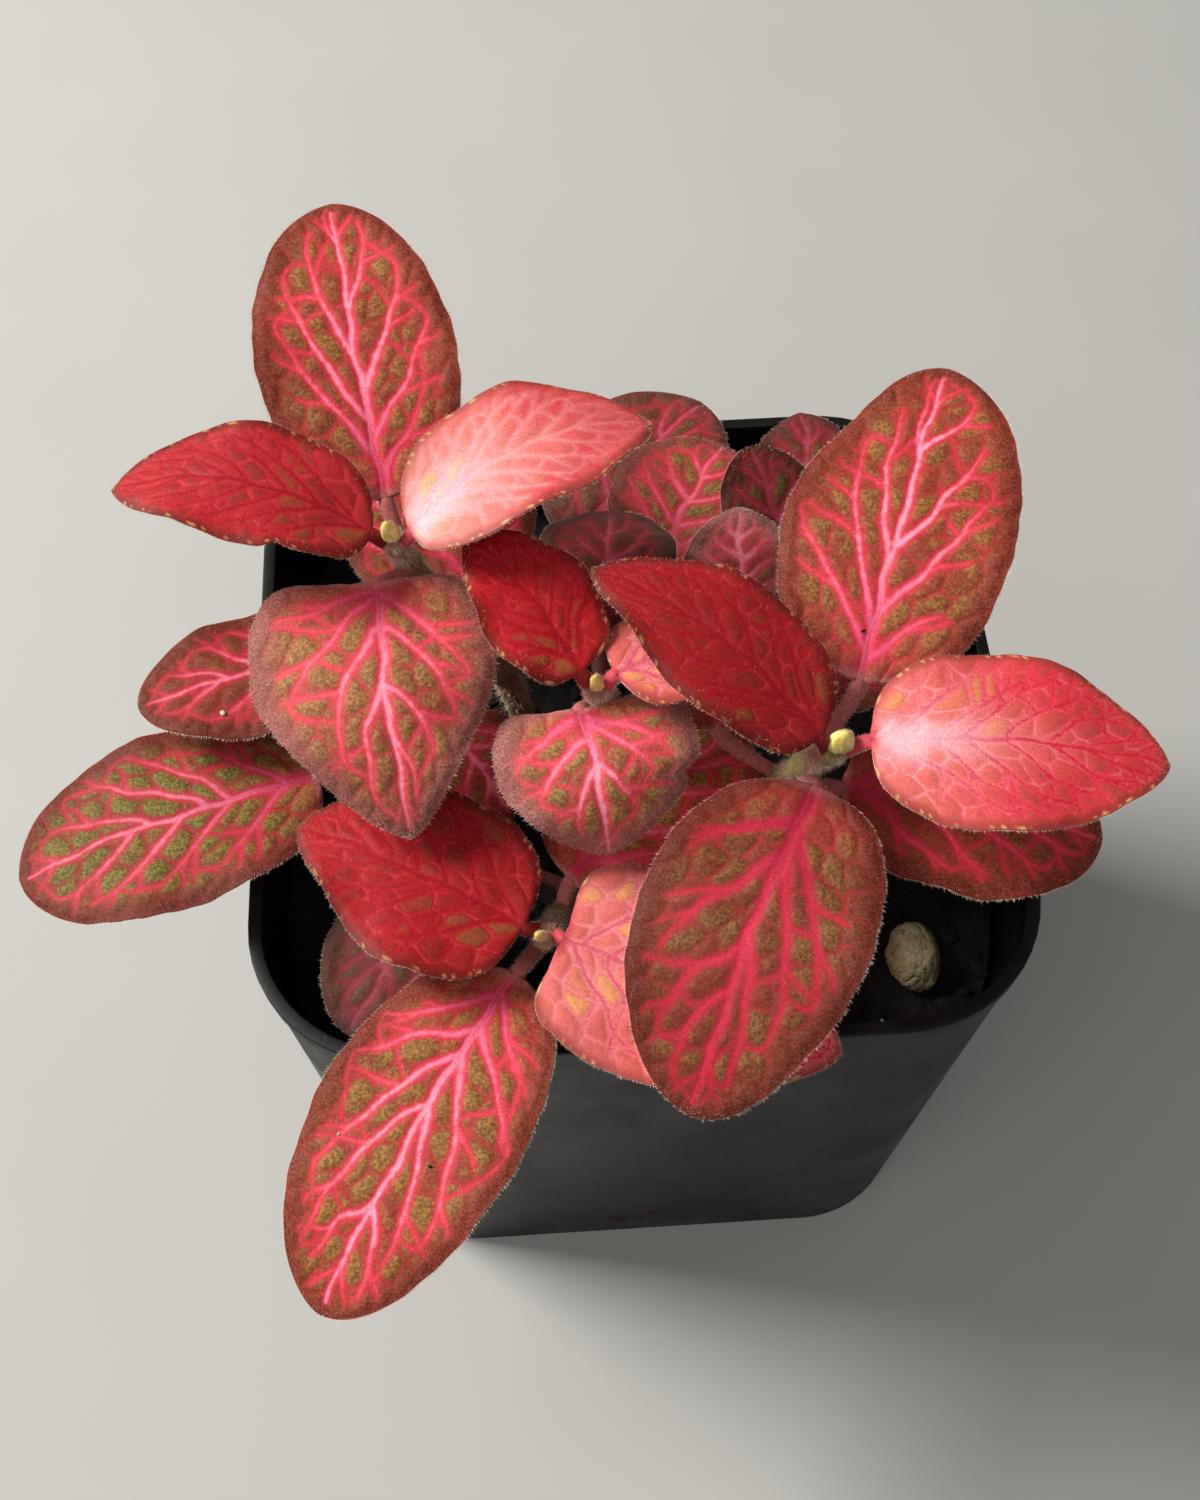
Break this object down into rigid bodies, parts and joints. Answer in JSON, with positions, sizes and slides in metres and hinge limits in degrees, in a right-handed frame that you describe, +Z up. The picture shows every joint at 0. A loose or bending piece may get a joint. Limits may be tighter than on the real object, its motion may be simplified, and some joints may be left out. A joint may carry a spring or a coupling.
{
  "type": "potted nerve plant",
  "caption": "Small foliage plant with oval, vein-patterned red leaves in opposite pairs on short stems, growing in potting mix in a square tapered nursery pot with a lip and drain holes.",
  "frame": {"origin": "centre of the pot's flat base, on the surface that it stands on", "axes": "+Z up out of the pot; -Y towards the viewer of the picture; +X to the viewer's right; the pot's walls face X and Y"},
  "size_m": [0.1222, 0.1144, 0.1204],
  "materials": {
    "pot_plastic": "satin moulded, faint scuffs, dried mud at the foot",
    "potting_mix": "damp, granular",
    "pumice": "rough, pitted",
    "stem_skin": "finely hairy",
    "bud_skin": "soft, finely hairy",
    "mature_leaf": "matt, brown-olive cells between raised pink veins, hairy edge",
    "young_leaf": "matt with a soft sheen, sunken red veins, pale dotted edge"
  },
  "bodies": {
    "root": {"pot": "pot_plastic", "potting_mix": "potting_mix", "pumice_stone": "pumice", "stem_left": "stem_skin", "stem_right": "stem_skin", "stem_front": "stem_skin", "stem_middle": "stem_skin", "stem_back": "stem_skin", "stem_low": "stem_skin", "bud_left": "bud_skin", "bud_right": "bud_skin", "bud_front": "bud_skin", "bud_middle": "bud_skin", "bud_back": "bud_skin", "bud_low": "bud_skin", "leaf_left_back": "mature_leaf", "leaf_left_front": "mature_leaf", "young_leaf_left_outer": "young_leaf", "young_leaf_left_inner": "young_leaf", "low_leaf_left_outer": "mature_leaf", "low_leaf_left_inner": "mature_leaf", "hidden_leaf_left": "mature_leaf", "leaf_right_back": "mature_leaf", "leaf_right_front": "mature_leaf", "young_leaf_right_inner": "young_leaf", "young_leaf_right_outer": "young_leaf", "low_leaf_right_outer": "mature_leaf", "low_leaf_right_inner": "mature_leaf", "hidden_leaf_right": "mature_leaf", "leaf_front_outer": "mature_leaf", "leaf_front_inner": "mature_leaf", "young_leaf_front_left": "young_leaf", "young_leaf_front_right": "young_leaf", "low_leaf_front": "mature_leaf", "leaf_middle_front": "mature_leaf", "leaf_middle_back": "mature_leaf", "young_leaf_middle_left": "young_leaf", "young_leaf_middle_right": "young_leaf", "leaf_back_far_left": "mature_leaf", "leaf_back_far_right": "mature_leaf", "leaf_back_left": "mature_leaf", "leaf_back_right": "mature_leaf", "young_leaf_back": "young_leaf", "low_leaf_far_left": "mature_leaf", "low_leaf_middle": "mature_leaf"}
  },
  "joints": []
}
